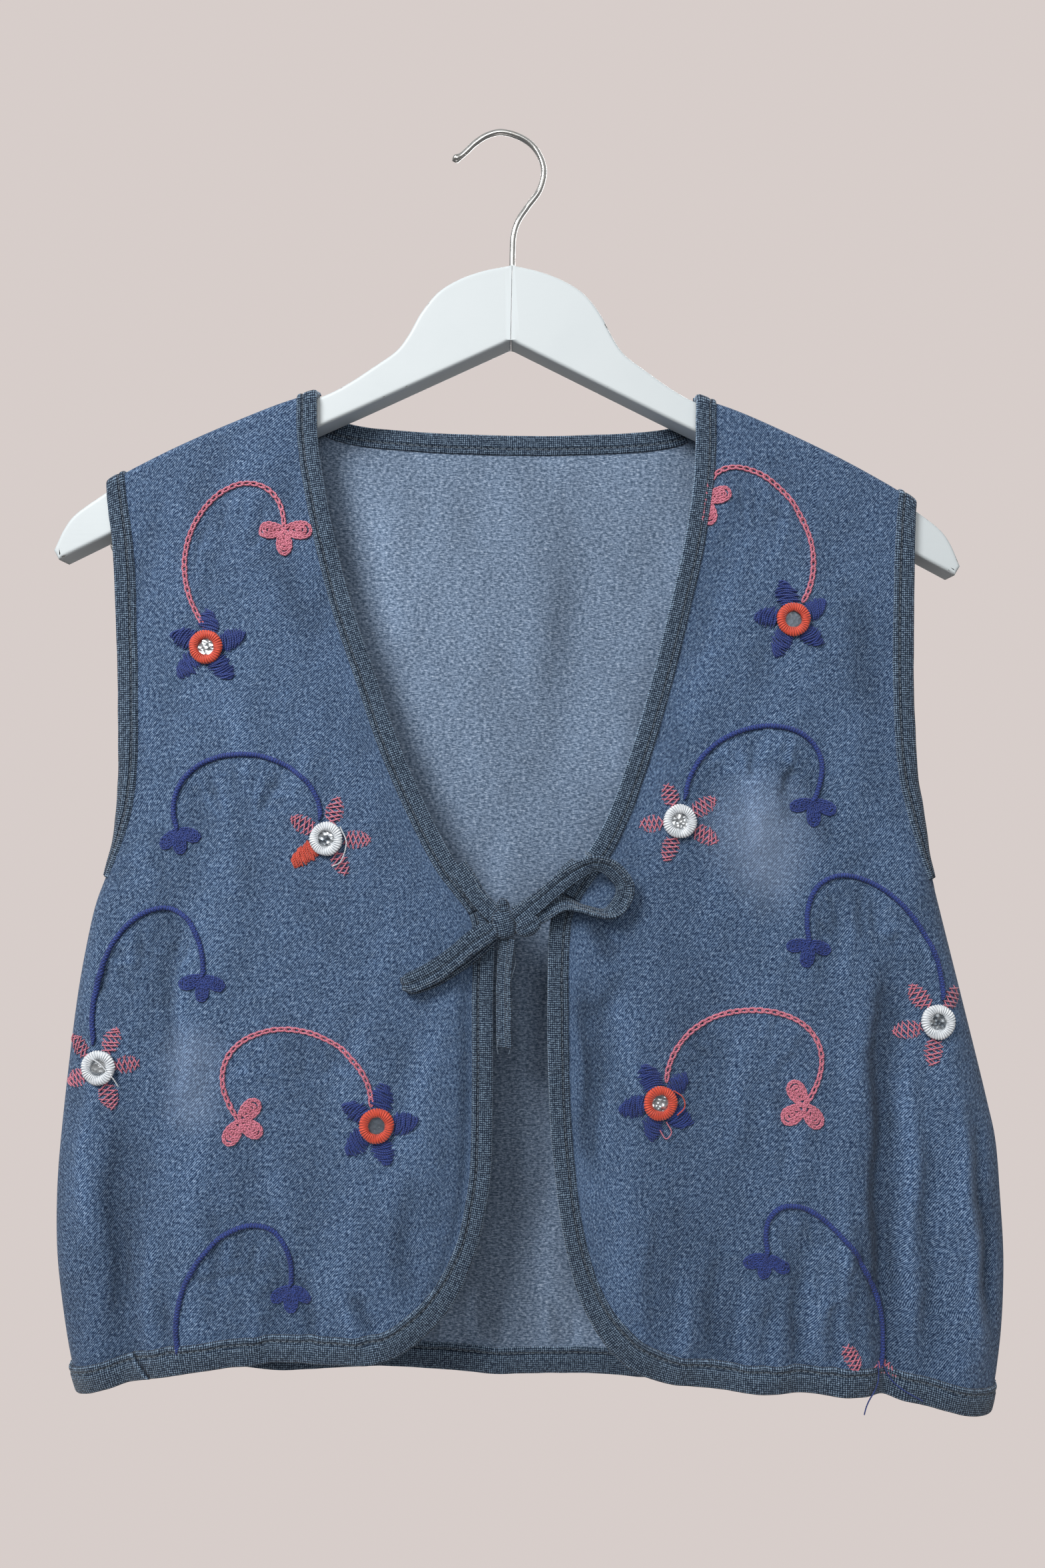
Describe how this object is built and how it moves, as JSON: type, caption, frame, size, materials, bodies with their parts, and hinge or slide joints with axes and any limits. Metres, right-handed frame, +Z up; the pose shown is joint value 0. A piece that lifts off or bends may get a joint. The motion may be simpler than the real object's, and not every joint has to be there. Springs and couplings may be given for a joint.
{
  "type": "embroidered waistcoat on a wooden hanger",
  "caption": "Short sleeveless denim waistcoat with round mirrors and bound edges, tied at the front and hung flat on a painted wooden hanger with a wire hook.",
  "frame": {"origin": "inner top of the hanger's hook, where it hangs on its support", "axes": "+Z up, +X to the viewer's right seen from the front, the front of the waistcoat faces -Y"},
  "size_m": [0.4684, 0.0476, 0.6228],
  "materials": {
    "denim": "matte twill, washed",
    "binding": "matte, darker denim",
    "pink_thread": "soft cotton thread",
    "navy_thread": "satin cotton thread",
    "red_thread": "satin cotton thread",
    "white_thread": "satin cotton thread",
    "pale_thread": "matte sewing thread",
    "mirror": "silvered glass",
    "painted_wood": "white paint, satin, chipped at the edges",
    "chrome": "plated wire"
  },
  "bodies": {
    "root": {"hanger_left": "painted_wood", "hanger_right": "painted_wood", "hook": "chrome", "strap_hook_left": "chrome", "strap_hook_right": "chrome", "front_left": "denim", "front_right": "denim", "back": "denim", "neck_binding_left": "binding", "neck_binding_right": "binding", "neck_binding_back": "binding", "hem_binding_left": "binding", "hem_binding_right": "binding", "hem_binding_back": "binding", "armhole_front_left": "binding", "armhole_front_right": "binding", "armhole_back_left": "binding", "armhole_back_right": "binding", "mirror_left_1": "mirror", "mirror_left_2": "mirror", "mirror_left_3": "mirror", "mirror_left_4": "mirror", "mirror_right_1": "mirror", "mirror_right_2": "mirror", "mirror_right_3": "mirror", "mirror_right_4": "mirror", "ring_left_1": "red_thread", "ring_left_2": "white_thread", "ring_left_3": "white_thread", "ring_left_4": "red_thread", "ring_right_1": "red_thread", "ring_right_2": "white_thread", "ring_right_3": "white_thread", "ring_right_4": "red_thread", "tie_loop_right": "binding", "tie_loop_left": "binding", "tie_end": "binding", "tie_lead_right": "binding", "tie_lead_left": "binding", "tie_knot": "binding"}
  },
  "joints": []
}
